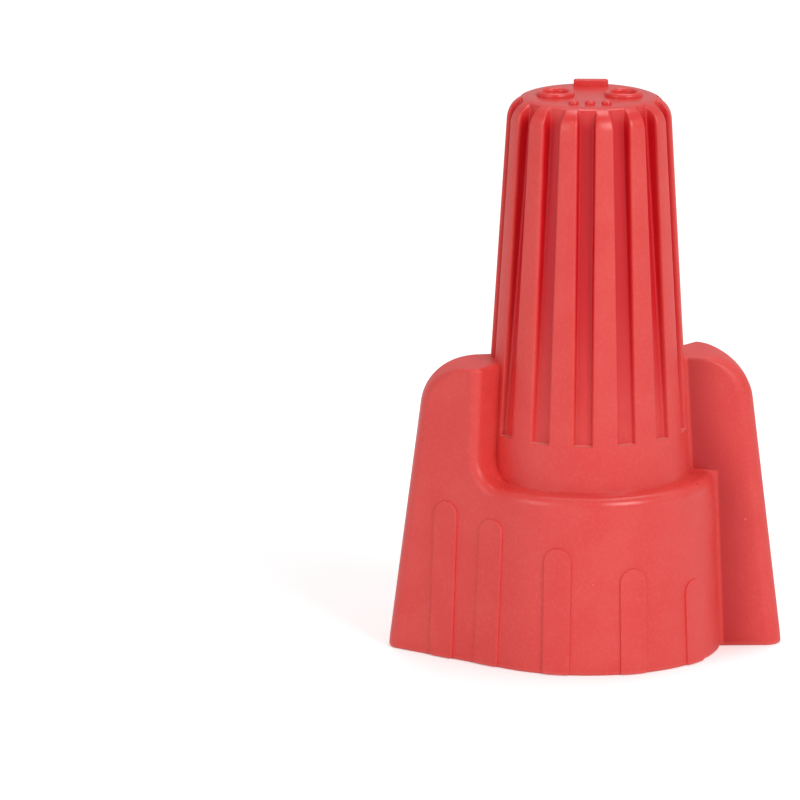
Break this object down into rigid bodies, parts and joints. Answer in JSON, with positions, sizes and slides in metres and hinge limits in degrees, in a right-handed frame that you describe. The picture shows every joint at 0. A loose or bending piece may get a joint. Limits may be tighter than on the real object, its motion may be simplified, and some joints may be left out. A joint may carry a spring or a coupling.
{
  "type": "twist wire connector",
  "caption": "Winged twist-on wire connector: a fluted plastic shell with two swept wings and a tapered square-wire spring inside that grips twisted wire ends.",
  "frame": {"origin": "centre of the mouth, in the plane of the rim that the connector stands on", "axes": "+Z along the axis from the mouth to the closed tip; the wings reach out along +X and -X"},
  "size_m": [0.0228, 0.016, 0.0328],
  "materials": {
    "shell": "moulded, fine satin grain",
    "spring": "bright zinc plate"
  },
  "bodies": {
    "root": {"shell": "shell", "spring": "spring"}
  },
  "joints": []
}
